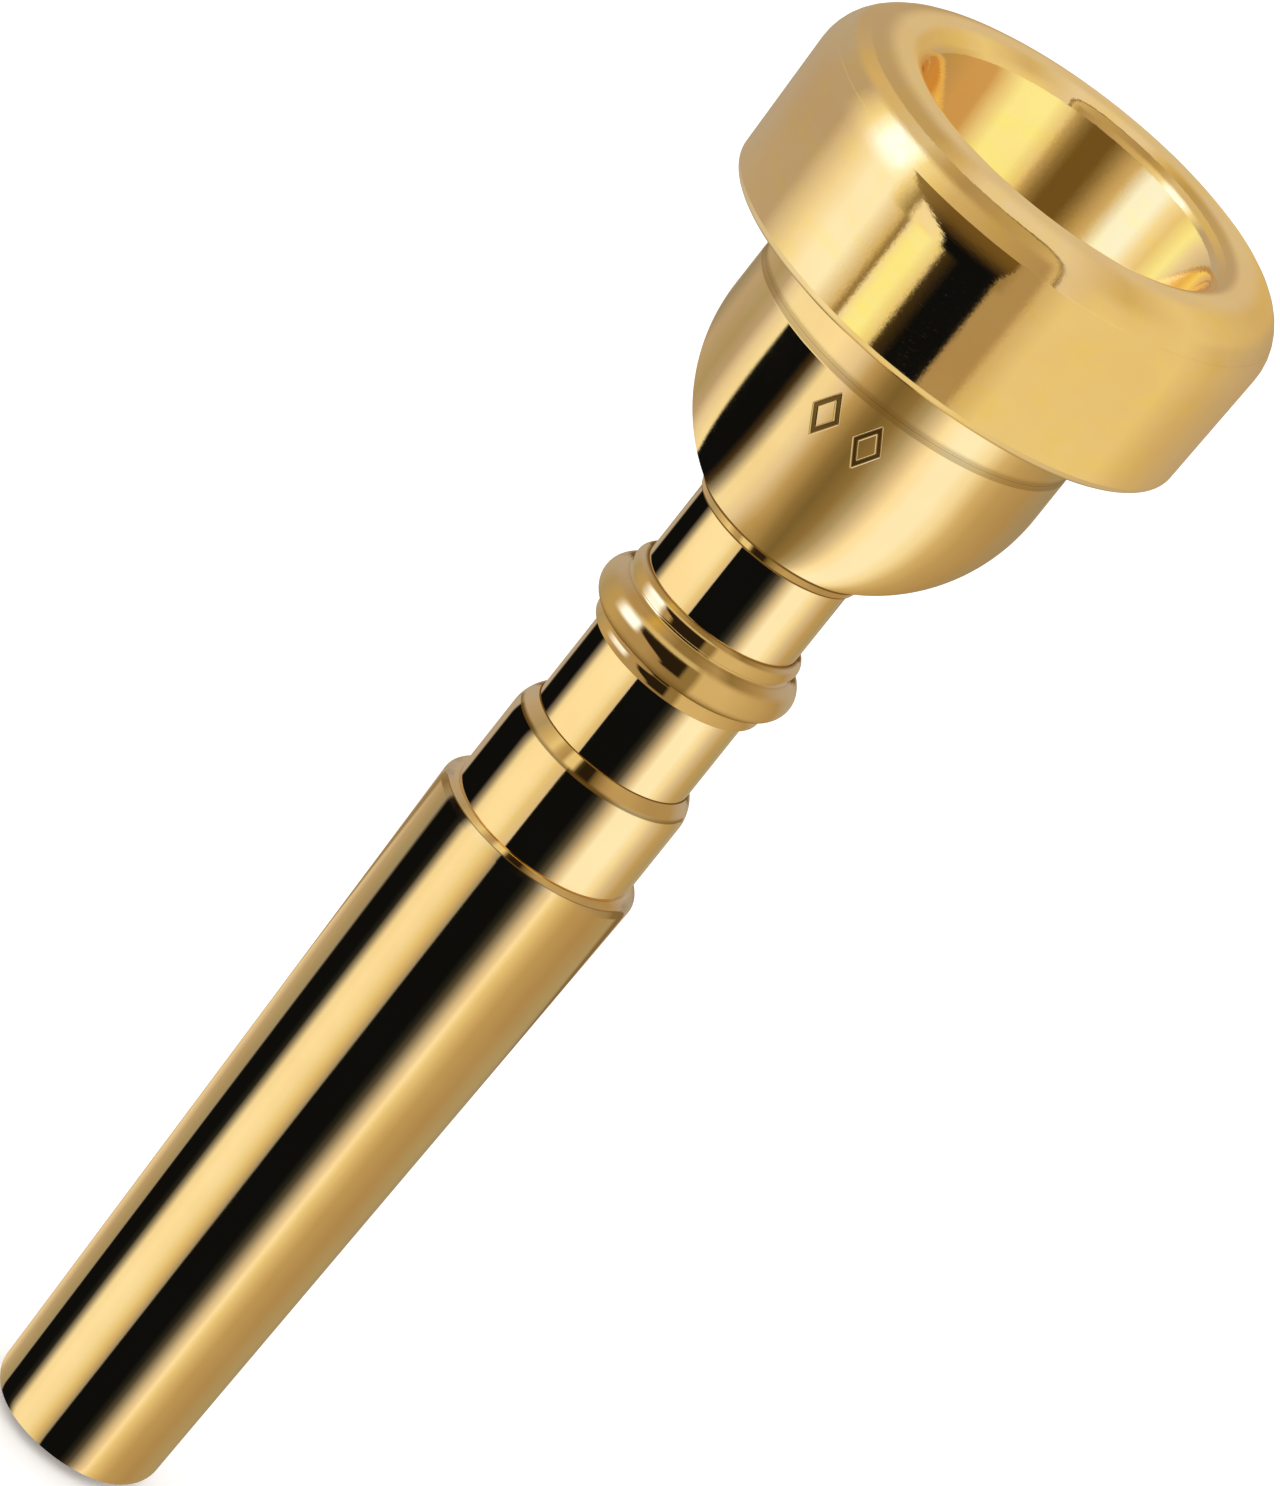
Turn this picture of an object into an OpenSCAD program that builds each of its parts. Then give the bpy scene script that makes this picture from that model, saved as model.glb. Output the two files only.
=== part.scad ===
// Screw-rim trumpet mouthpiece in gold-plated brass, taken apart the way a player or repairer does it:
// the rim unscrews upward off the cup, the stem unscrews downward out of it, and the tapered shank
// pulls off the stem. Origin: centre of the shank's end face. +Z runs up the bore to the rim.

/* [Rim] */
// widest outside diameter of the rim
rim_d = 27; // [27:0.1:28]
// height of the rim from its underside to the crown
rim_h = 10.2; // [9.8:0.1:11]
// diameter between the inner edges of the bite
rim_inner_d = 17; // [16.6:0.1:17]
// radius of the rounding on the rim's outer shoulder
rim_outer_round = 3.05; // [2.2:0.05:3.05]
// radius of the rounding on the bite
rim_bite_round = 1.7; // [1.3:0.05:1.7]
// radius of the rounding on the rim's lower edge
rim_lower_round = 0.55; // [0.3:0.05:1]

/* [Cup] */
// outside diameter of the cup's straight part
cup_d = 18.8; // [18.4:0.1:19]
// height of the cup's visible outside, from the joint ring to the rim
cup_h = 14.05; // [13.6:0.05:15]
// throat bore diameter
throat_d = 3.66; // [3.4:0.02:4]

/* [Stem and shank] */
// diameter of the stem's plain tube
stem_d = 9.1; // [9:0.05:9.3]
// visible length of the stem from the collar to the joint ring
neck_len = 13.95; // [12:0.05:18]
// diameter of the bead at its middle
bead_d = 11.64; // [10.8:0.02:13]
// collar outside diameter
collar_d = 10.46; // [10.2:0.02:11]
// collar length
collar_len = 6.15; // [4:0.05:8]
// length of the tapered shank
shank_len = 42; // [36:0.5:46]
// outside diameter of the shank's small end
shank_end_d = 9.7; // [9.6:0.05:10]
// bore diameter at the shank's open end
exit_bore_d = 8.3; // [7.8:0.1:8.4]

/* [Screw threads] */
// major diameter of the thread between rim and cup
rim_thread_d = 18.6; // [18.5:0.05:18.7]
// major diameter of the thread between cup and stem
stem_thread_d = 8; // [7.8:0.1:8.1]
// pitch of both threads
pitch = 0.75; // [0.6:0.05:0.8]
// radial running clearance between a thread and its mate
thread_gap = 0.08; // [0.06:0.01:0.1]

/* [Hidden] */
$fn = 96;

GOLD = [0.88, 0.70, 0.38];
PALE_GOLD = [0.90, 0.74, 0.44];
RUBBER = [0.06, 0.06, 0.06];
SEAL_WHITE = [0.90, 0.89, 0.86];

// heights of the visible parting lines
ring_h = 0.65;
z_collar = shank_len;
z_neck = z_collar + collar_len;
z_ring = z_neck + neck_len;
z_cup = z_ring + ring_h;
z_rim = z_cup + cup_h;
z_top = z_rim + rim_h;

// rim section
rim_r = rim_d / 2;
rim_skirt_r = rim_r - 0.2;
rim_in_r = rim_inner_d / 2;
seal_h = 0.4;
boss_h = 3.5;
z_boss = z_rim + boss_h;
z_seat = z_boss + seal_h;
seat_r = 8.15;

// bowl: a sphere that carries on the rim's inner cone, rounded into the throat
cup_r = cup_d / 2;
throat_r = throat_d / 2;
bowl_r = 8.21;
bowl_z = z_seat + 1;
lip_r = 2;
lip_z = bowl_z - sqrt(pow(bowl_r + lip_r, 2) - pow(throat_r + lip_r, 2));
lip_top_z = bowl_z - (bowl_z - lip_z) * bowl_r / (bowl_r + lip_r);

// outside of the cup: an arc from the joint ring to the straight part, then a flare under the rim
arc_r = 10.2;
arc_z = z_cup + 8.4;
band_z = z_rim - 2.85;
flare_r = 0.45;
band_r = cup_r + 0.18;

// socket in the cup's base and spigot on the stem
spigot_len = 6.1;
socket_len = 6.2;

// threads: one ridge on each side of a joint, half a pitch apart, so neither ridge touches the other
thread_depth = 0.42;
ridge_root = 0.5;
ridge_crest = 0.12;
turn_steps = 48;
embed = 0.12;
rim_bore_r = rim_thread_d / 2 + thread_gap;
boss_r = rim_thread_d / 2 - thread_depth;
boss_chamfer = 0.2;
rim_thread_z = z_rim + 0.7;
socket_r = stem_thread_d / 2 + thread_gap;
spigot_r = stem_thread_d / 2 - thread_depth;
spigot_chamfer = 0.3;
stem_thread_z = z_cup + 0.5;
z_spigot = z_cup + spigot_len;

// joint ring: a cone that opens upward to meet the bowl
ring_low_lip = 0.15;
ring_high_lip = 0.42;

// bead on the stem: a full round between two small ones
bead_low = 5.1;
bead_lower_h = 0.85;
bead_big_h = 2.3;
bead_upper_h = 1.05;
bead_small_r = 5.03;
bead_floor_r = 4.8;

// shank socket and backbore
stem_r = stem_d / 2;
collar_r = collar_d / 2;
collar_w = collar_r - stem_r;
collar_arc_r = 2.2;
collar_shoulder_h = sqrt(pow(collar_arc_r, 2) - pow(collar_arc_r - collar_w, 2));
socket_depth = 14;
slip_gap = 0.05;
z_stem_end = z_collar - socket_depth;
exit_r = exit_bore_d / 2;
backbore_mid_r = 3.3;
throat_len = 8;
taper = 1 / 40;
shank_r = shank_end_d / 2;
shank_top_r = shank_r + taper * shank_len;
step_round = 0.6;

// the shank's open end: an arc that leaves the wall smoothly and meets the flat end face at an edge
end_arc_r = 1.3;
end_edge_r = shank_r - 0.43;
end_wall_r = shank_r + taper;
end_h = sqrt(pow(end_arc_r, 2) - pow(end_edge_r - end_wall_r + end_arc_r, 2));

// O-rings that grip the shank
o_ring_r = 0.4;
o_ring_squeeze = 0.02;
o_ring_mid_r = stem_r + slip_gap - o_ring_squeeze - o_ring_r;
groove_half = 0.5;
groove_depth = 0.8;
o_ring_heights = [z_stem_end + 3, z_stem_end + 10.5];

// engraved mark on the front of the bowl: two open lozenges
mark_depth = 0.12;
mark_w = 1.7;
mark_h = 2.8;
mark_line = 0.3;
mark_z = z_cup + 9.1;
mark_x = [-1.9, 0.7];
mark_slant = norm([mark_w, mark_h]);
mark_in_w = mark_w - 2 * mark_line * mark_slant / mark_h;
mark_in_h = mark_h - 2 * mark_line * mark_slant / mark_w;

// one turn-by-turn ridge along a right-hand helix, fading in and out over its first and last steps
module helix_ridge(root_r, crest_r, z_start, turns) {
    n = floor(turns * turn_steps);
    fade = 10;
    function reach(i) = root_r + (crest_r - root_r) * max(0.1, min(1, i / fade, (n - i) / fade));
    function ring(i) = let(
        a = i * 360 / turn_steps,
        z = z_start + pitch * i / turn_steps,
        r = reach(i)
    ) [
        [root_r * cos(a), root_r * sin(a), z - ridge_root / 2],
        [r * cos(a), r * sin(a), z - ridge_crest / 2],
        [r * cos(a), r * sin(a), z + ridge_crest / 2],
        [root_r * cos(a), root_r * sin(a), z + ridge_root / 2]
    ];
    pts = [for (i = [0:n]) each ring(i)];
    outward = crest_r > root_r;
    side = [for (i = [0:n - 1], k = [0:3])
        let(p = 4 * i + k, q = 4 * i + (k + 1) % 4)
        each outward ? [[p, q, q + 4], [p, q + 4, p + 4]] : [[q, p, q + 4], [q + 4, p, p + 4]]];
    ends = outward
        ? [[0, 3, 2], [0, 2, 1], [4 * n, 4 * n + 1, 4 * n + 2], [4 * n, 4 * n + 2, 4 * n + 3]]
        : [[0, 2, 3], [0, 1, 2], [4 * n, 4 * n + 2, 4 * n + 1], [4 * n, 4 * n + 3, 4 * n + 2]];
    polyhedron(points = pts, faces = concat(side, ends), convexity = 10);
}

// ---- rim ----

// quarter disc whose round side faces the quadrant picked by the signs sx and sz
module corner(x, z, r, sx, sz) {
    translate([x, z])
        intersection() {
            circle(r = r);
            translate([sx > 0 ? 0 : -r, sz > 0 ? 0 : -r])
                square(r);
        }
}

module rim_section() {
    polygon([
        [rim_bore_r, z_rim],
        [rim_skirt_r - rim_lower_round, z_rim],
        [rim_skirt_r, z_rim + rim_lower_round],
        [rim_r, z_top - rim_outer_round],
        [rim_r - rim_outer_round, z_top],
        [rim_in_r + rim_bite_round, z_top],
        [rim_in_r, z_top - rim_bite_round],
        [seat_r, z_seat],
        [rim_bore_r, z_seat]
    ]);
    corner(rim_r - rim_outer_round, z_top - rim_outer_round, rim_outer_round, 1, 1);
    corner(rim_in_r + rim_bite_round, z_top - rim_bite_round, rim_bite_round, -1, 1);
    corner(rim_skirt_r - rim_lower_round, z_rim + rim_lower_round, rim_lower_round, 1, -1);
}

module rim() {
    color(PALE_GOLD) {
        union() {
            rotate_extrude()
                rim_section();
            helix_ridge(
                rim_bore_r + embed,
                rim_bore_r - thread_depth,
                rim_thread_z - pitch / 2,
                3.4
            );
        }
    }
}

module rim_seal() {
    color(SEAL_WHITE)
        translate([0, 0, z_boss])
            difference() {
                cylinder(h = seal_h, r = seat_r + 0.6);
                translate([0, 0, -1])
                    cylinder(h = seal_h + 2, r = seat_r + 0.05);
            }
}

// ---- cup ----

module cup_outside(inset) {
    intersection() {
        translate([cup_r - arc_r, arc_z])
            circle(r = arc_r - inset);
        translate([0, z_cup])
            square([arc_r, arc_z - z_cup]);
    }
    translate([0, arc_z])
        square([cup_r - inset, band_z - arc_z]);
}

module cup_section() {
    cup_outside(0);
    polygon([
        [0, band_z],
        [cup_r, band_z],
        [band_r, z_rim - flare_r],
        [0, z_rim - flare_r]
    ]);
    difference() {
        translate([0, z_rim - flare_r])
            square([band_r + flare_r, flare_r]);
        translate([band_r + flare_r, z_rim - flare_r])
            circle(r = flare_r);
    }
    polygon([
        [0, z_rim],
        [boss_r, z_rim],
        [boss_r, z_boss - boss_chamfer],
        [boss_r - boss_chamfer, z_boss],
        [0, z_boss]
    ]);
}

module bowl_space() {
    intersection() {
        translate([0, bowl_z])
            circle(r = bowl_r);
        translate([0, bowl_z - bowl_r])
            square([bowl_r, z_boss + 1 - bowl_z + bowl_r]);
    }
    difference() {
        polygon([
            [0, lip_z],
            [throat_r + lip_r, lip_z],
            [(throat_r + lip_r) * bowl_r / (bowl_r + lip_r), lip_top_z],
            [0, lip_top_z]
        ]);
        translate([throat_r + lip_r, lip_z])
            circle(r = lip_r);
    }
    translate([0, z_cup - 1])
        square([throat_r, lip_z - z_cup + 1.5]);
}

module lozenge(w, h) {
    polygon([[-w / 2, 0], [0, -h / 2], [w / 2, 0], [0, h / 2]]);
}

module mark_cut() {
    difference() {
        for (x = mark_x)
            translate([x, -cup_r - 1, mark_z])
                rotate([-90, 0, 0])
                    linear_extrude(height = 3)
                        difference() {
                            lozenge(mark_w, mark_h);
                            lozenge(mark_in_w, mark_in_h);
                        }
        rotate_extrude()
            cup_outside(mark_depth);
    }
}

module cup() {
    color(GOLD) {
        union() {
            difference() {
                rotate_extrude()
                    cup_section();
                rotate_extrude()
                    bowl_space();
                translate([0, 0, z_cup - 1])
                    cylinder(h = socket_len + 1, r = socket_r);
                mark_cut();
            }
            helix_ridge(
                boss_r - embed,
                rim_thread_d / 2,
                rim_thread_z,
                3
            );
            helix_ridge(
                socket_r + embed,
                socket_r - thread_depth,
                stem_thread_z,
                6
            );
        }
    }
}

// ---- stem and what is pressed on it ----

module joint_ring() {
    color(PALE_GOLD)
        translate([0, 0, z_ring])
            difference() {
                cylinder(h = ring_h, r1 = stem_r + ring_low_lip, r2 = stem_r + ring_high_lip);
                translate([0, 0, -1])
                    cylinder(h = ring_h + 2, r = socket_r);
            }
}

module stem() {
    color(GOLD) {
        union() {
            difference() {
                union() {
                    translate([0, 0, z_stem_end])
                        cylinder(h = z_ring - z_stem_end, r = stem_r);
                    translate([0, 0, z_ring])
                        cylinder(h = z_spigot - spigot_chamfer - z_ring, r = spigot_r);
                    translate([0, 0, z_spigot - spigot_chamfer])
                        cylinder(h = spigot_chamfer, r1 = spigot_r, r2 = spigot_r - spigot_chamfer);
                }
                translate([0, 0, z_stem_end - 1])
                    cylinder(h = z_spigot + 2 - z_stem_end, r = throat_r);
                translate([0, 0, z_stem_end])
                    cylinder(h = lip_z - throat_len - z_stem_end, r1 = backbore_mid_r, r2 = throat_r);
                for (z = o_ring_heights)
                    translate([0, 0, z - groove_half])
                        difference() {
                            cylinder(h = 2 * groove_half, r = stem_r + 1);
                            cylinder(h = 2 * groove_half, r = stem_r - groove_depth);
                        }
            }
            helix_ridge(
                spigot_r - embed,
                stem_thread_d / 2,
                stem_thread_z + 1.5 * pitch,
                5
            );
        }
    }
}

module bead_section() {
    big_r = bead_big_h / 2;
    lower_r = bead_lower_h / 2;
    upper_r = bead_upper_h / 2;
    bead_h = bead_lower_h + bead_big_h + bead_upper_h;
    translate([bead_small_r - lower_r, lower_r])
        circle(r = lower_r);
    translate([bead_d / 2 - big_r, bead_lower_h + big_r])
        circle(r = big_r);
    translate([bead_small_r - upper_r, bead_h - upper_r])
        circle(r = upper_r);
    translate([stem_r, lower_r])
        square([bead_floor_r - stem_r, bead_h - lower_r - upper_r]);
}

module bead_ring() {
    color(GOLD)
        translate([0, 0, z_neck + bead_low])
            rotate_extrude()
                difference() {
                    bead_section();
                    square([stem_r, bead_lower_h + bead_big_h + bead_upper_h]);
                }
}

module collar() {
    shoulder_z = collar_len - collar_shoulder_h;
    color(GOLD)
        translate([0, 0, z_collar])
            rotate_extrude() {
                translate([stem_r, 0])
                    square([collar_w, shoulder_z]);
                intersection() {
                    translate([collar_r - collar_arc_r, shoulder_z])
                        circle(r = collar_arc_r);
                    translate([stem_r, shoulder_z])
                        square([collar_w, collar_shoulder_h]);
                }
            }
}

// ---- shank ----

module shank_section() {
    polygon([
        [exit_r, end_h],
        [end_wall_r, end_h],
        [shank_top_r - taper * step_round, shank_len - step_round],
        [shank_top_r - step_round, shank_len],
        [stem_r + slip_gap, shank_len],
        [stem_r + slip_gap, z_stem_end - slip_gap],
        [backbore_mid_r, z_stem_end - slip_gap]
    ]);
    intersection() {
        translate([end_wall_r - end_arc_r, end_h])
            circle(r = end_arc_r);
        translate([exit_r, 0])
            square([end_wall_r - exit_r, end_h]);
    }
    corner(shank_top_r - taper * step_round - step_round, shank_len - step_round, step_round, 1, 1);
}

module shank() {
    color(GOLD)
        rotate_extrude()
            shank_section();
}

module shank_o_rings() {
    color(RUBBER)
        for (z = o_ring_heights)
            translate([0, 0, z])
                rotate_extrude()
                    translate([o_ring_mid_r, 0])
                        circle(r = o_ring_r - 0.02);
}

rim();
rim_seal();
cup();
joint_ring();
stem();
bead_ring();
collar();
shank();
shank_o_rings();
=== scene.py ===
"""Looks for the screw-rim trumpet mouthpiece: gold-plated turned parts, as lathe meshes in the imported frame."""

import math

import bpy
import numpy as np
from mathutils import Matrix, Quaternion, Vector


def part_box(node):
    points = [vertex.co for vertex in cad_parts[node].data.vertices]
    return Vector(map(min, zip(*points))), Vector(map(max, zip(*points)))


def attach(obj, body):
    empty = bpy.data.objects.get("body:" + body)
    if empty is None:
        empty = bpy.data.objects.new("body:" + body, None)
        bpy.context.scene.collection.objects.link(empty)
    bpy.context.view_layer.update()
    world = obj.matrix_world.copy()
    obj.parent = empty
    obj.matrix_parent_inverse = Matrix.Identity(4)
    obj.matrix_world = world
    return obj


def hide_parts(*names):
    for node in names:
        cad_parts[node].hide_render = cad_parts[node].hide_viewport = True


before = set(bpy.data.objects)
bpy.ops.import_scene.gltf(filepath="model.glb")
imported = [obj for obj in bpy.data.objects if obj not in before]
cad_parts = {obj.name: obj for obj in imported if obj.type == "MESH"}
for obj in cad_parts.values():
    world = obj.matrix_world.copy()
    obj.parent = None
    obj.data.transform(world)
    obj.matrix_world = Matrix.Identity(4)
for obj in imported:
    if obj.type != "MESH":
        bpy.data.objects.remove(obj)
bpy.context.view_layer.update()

MM = 0.001


def levels(node):
    """Lowest and highest z of a CAD node, in millimetres."""
    low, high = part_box(node)
    return low.z / MM, high.z / MM


def half_width(node):
    """Largest radius of a CAD node, in millimetres."""
    low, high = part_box(node)
    return (high.x - low.x) / 2 / MM


# ---------------------------------------------------------------- sizes, in millimetres

RIM_LOW, RIM_TOP = levels("rim")
RIM_R = half_width("rim")
SEAL_LOW, SEAL_TOP = levels("rim_seal")
CUP_LOW, BOSS_TOP = levels("cup")
RING_LOW, RING_TOP = levels("joint_ring")
STEM_LOW, SPIGOT_TOP = levels("stem")
BEAD_LOW, BEAD_TOP = levels("bead_ring")
COLLAR_LOW, COLLAR_TOP = levels("collar")
SHANK_LOW, SHANK_TOP = levels("shank")

THROAT_R = 1.83
STEM_R = 4.55
CUP_R = 9.4
SEAT_R = 8.15
PITCH = 0.75
THREAD_DEPTH = 0.42
THREAD_GAP = 0.08
RIM_THREAD_R = 9.3
STEM_THREAD_R = 4.0
BACKBORE_R = 3.3

# ---------------------------------------------------------------- turned profiles


def arc(cx, cz, radius, start, end, steps):
    """Points on an arc in the (r, z) plane, angles in degrees, as smooth corners with no fillet."""
    angles = np.radians(np.linspace(start, end, steps + 1))
    return [(cx + radius * math.cos(a), cz + radius * math.sin(a), 0.0) for a in angles]


def outline(corners):
    """Turns (r, z, fillet) corners, given anticlockwise, into points, normals, wear and painted hollow shade.

    A corner with a fillet becomes an arc. One without stays a point whose normal is the mean of its two sides.
    Wear is 1 on small outward fillets, where plating is rubbed thin; hollow_shade is 1 in inward ones, a painted
    shade that darkens creases and grooves."""
    points, normals, wear, hollow_shade = [], [], [], []
    n = len(corners)
    for i in range(n):
        before, here, after = (np.array(corners[(i + k) % n][:2]) for k in (-1, 0, 1))
        fillet = corners[i][2]
        d0 = (here - before) / np.linalg.norm(here - before)
        d1 = (after - here) / np.linalg.norm(after - here)
        n0, n1 = np.array([d0[1], -d0[0]]), np.array([d1[1], -d1[0]])
        turn = math.atan2(d0[0] * d1[1] - d0[1] * d1[0], float(d0 @ d1))
        if fillet <= 0 or abs(turn) < 1e-4:
            mean = n0 + n1
            points.append(here)
            normals.append(mean / np.linalg.norm(mean))
            wear.append(0.0)
            hollow_shade.append(0.0)
            continue
        reach = min(
            fillet * math.tan(abs(turn) / 2),
            0.62 * np.linalg.norm(here - before),
            0.62 * np.linalg.norm(after - here),
        )
        radius = reach / math.tan(abs(turn) / 2)
        side = 1.0 if turn > 0 else -1.0
        centre = here - d0 * reach - n0 * radius * side
        steps = max(3, math.ceil(math.degrees(abs(turn)) / 9))
        small = 1.0 if radius < 0.7 else 0.0
        for k in range(steps + 1):
            a = turn * k / steps
            c, s = math.cos(a), math.sin(a)
            normal = np.array([n0[0] * c - n0[1] * s, n0[0] * s + n0[1] * c])
            middle = math.sin(math.pi * k / steps)
            points.append(centre + normal * radius * side)
            normals.append(normal)
            wear.append(middle * small if turn > 0 else 0.0)
            hollow_shade.append(middle if turn < 0 else 0.0)
    return [np.array(x, float) for x in (points, normals, wear, hollow_shade)]


def refine(profile, z_low, z_high, step, r_low=0.0, r_high=99.0):
    """Splits the sides that lie in a band of heights and radii into short steps."""
    points, normals, wear, hollow_shade = profile
    out = []
    n = len(points)
    for i in range(n):
        j = (i + 1) % n
        rows = [np.concatenate([points[i], normals[i], [wear[i], hollow_shade[i]]])]
        last = np.concatenate([points[j], normals[j], [wear[j], hollow_shade[j]]])
        middle = (points[i] + points[j]) / 2
        low, high = sorted((points[i][1], points[j][1]))
        inside = high > z_low and low < z_high and r_low < middle[0] < r_high
        length = np.linalg.norm(points[j] - points[i])
        if inside and length > step:
            count = math.ceil(length / step)
            rows += [rows[0] + (last - rows[0]) * k / count for k in range(1, count)]
        out += rows
    out = np.array(out)
    normal = out[:, 2:4] / np.linalg.norm(out[:, 2:4], axis=1)[:, None]
    return [out[:, 0:2], normal, out[:, 4], out[:, 5]]


def lean(profile, rule):
    """Changes only the shading tilt of a profile: rule(r, z, tilt, inward) gives the new one in degrees.

    Metal seen close up mirrors its own neighbours; with leaned normals it goes on mirroring the studio."""
    points, normals, wear, hollow_shade = profile
    out = []
    for (r, z), (nr, nz) in zip(points, normals):
        tilt = math.degrees(math.atan2(nz, abs(nr)))
        new = math.radians(rule(r, z, tilt, nr < 0))
        out.append((math.copysign(math.cos(new), nr), math.sin(new)))
    return [points, np.array(out), wear, hollow_shade]


def even_angles(count):
    return np.linspace(0, 2 * math.pi, count, endpoint=False)


def front_angles(coarse, spread, step):
    """Angles round a part, closely spaced for `spread` degrees each side of the front (-Y)."""
    fine = np.arange(-90 - spread, -90 + spread, step)
    rest = np.linspace(-90 + spread, 270 - spread, coarse, endpoint=False)
    return np.radians(np.concatenate([fine, rest]))


def surface_normals(co):
    """Normals measured from a grid of points laid out as (profile row, angle column)."""
    along = np.roll(co, -1, 0) - np.roll(co, 1, 0)
    around = np.roll(co, -1, 1) - np.roll(co, 1, 1)
    normal = np.cross(around, along)
    return normal / (np.linalg.norm(normal, axis=-1)[..., None] + 1e-12)


def turned(name, profile, body, node, material, angles=None, shape=None):
    """Revolves a closed profile round Z into one watertight mesh that stands for a CAD node.

    shape(theta, r, z) may return (change of radius, added painted shade) arrays for screw ridges or engraving."""
    points, normals, wear, hollow_shade = profile
    theta = even_angles(160) if angles is None else angles
    rows, columns = len(points), len(theta)
    t = theta[None, :] * np.ones((rows, 1))
    r = points[:, 0][:, None] * np.ones((1, columns))
    z = points[:, 1][:, None] * np.ones((1, columns))
    dark = hollow_shade[:, None] * np.ones((1, columns))
    worn = wear[:, None] * np.ones((1, columns))
    nr = normals[:, 0][:, None] * np.ones((1, columns))
    nz = normals[:, 1][:, None] * np.ones((1, columns))
    co = np.stack([r * np.cos(t), r * np.sin(t), z], -1)
    no = np.stack([nr * np.cos(t), nr * np.sin(t), nz], -1)
    if shape is not None:
        plain_co = co
        change, added_shade = shape(t, r, z)
        r2 = r + change
        co = np.stack([r2 * np.cos(t), r2 * np.sin(t), z], -1)
        moved = np.abs(change)
        near = moved + sum(np.roll(moved, s, a) for s in (-1, 1) for a in (0, 1))
        bent = no + surface_normals(co) - surface_normals(plain_co)
        bent /= np.linalg.norm(bent, axis=-1)[..., None]
        no = np.where((near > 1e-4)[..., None], bent, no)
        dark = np.clip(dark + added_shade, 0, 1)
    index = np.arange(rows * columns).reshape(rows, columns)
    a = index
    b = np.roll(index, -1, 1)
    c = np.roll(np.roll(index, -1, 0), -1, 1)
    d = np.roll(index, -1, 0)
    faces = np.stack([a, b, c, d], -1).reshape(-1, 4)
    mesh = bpy.data.meshes.new(name)
    mesh.from_pydata((co.reshape(-1, 3) * MM).tolist(), [], faces.tolist())
    mesh.polygons.foreach_set("use_smooth", [True] * len(mesh.polygons))
    # wear and the painted shade of hollows, creases and grooves are stored on the mesh
    for label, values in (("worn", worn), ("hollow_shade", dark)):
        layer = mesh.attributes.new(label, "FLOAT", "POINT")
        layer.data.foreach_set("value", values.reshape(-1).astype(np.float32))
    mesh.update()
    mesh.normals_split_custom_set_from_vertices(no.reshape(-1, 3).tolist())
    mesh.materials.append(material)
    piece = bpy.data.objects.new(name, mesh)
    bpy.context.scene.collection.objects.link(piece)
    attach(piece, body)
    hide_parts(node)
    return piece


def screw(start, end, root_r, sign, phase):
    """A right-hand screw ridge of rounded section on the wall at root_r.

    Sign 1 stands out of the wall, -1 into the bore."""

    def ridge(t, r, z):
        turn = (z - start) / PITCH - t / (2 * math.pi) + phase
        bump = (0.5 + 0.5 * np.cos(2 * math.pi * turn)) ** 1.3
        fade = np.clip((z - start) / 0.3, 0, 1) * np.clip((end - z) / 0.3, 0, 1)
        on_wall = (np.abs(r - root_r) < 0.02) & (z > start) & (z < end)
        change = np.where(on_wall, sign * THREAD_DEPTH * bump * fade, 0.0)
        # the roots between ridges get painted shade, darker where the ridge is low
        return change, np.where(on_wall, 0.35 * (1 - bump), 0.0)

    return ridge


def together(*shapes):
    def both(t, r, z):
        parts = [s(t, r, z) for s in shapes]
        return sum(p[0] for p in parts), sum(p[1] for p in parts)

    return both


# ---------------------------------------------------------------- materials


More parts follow.
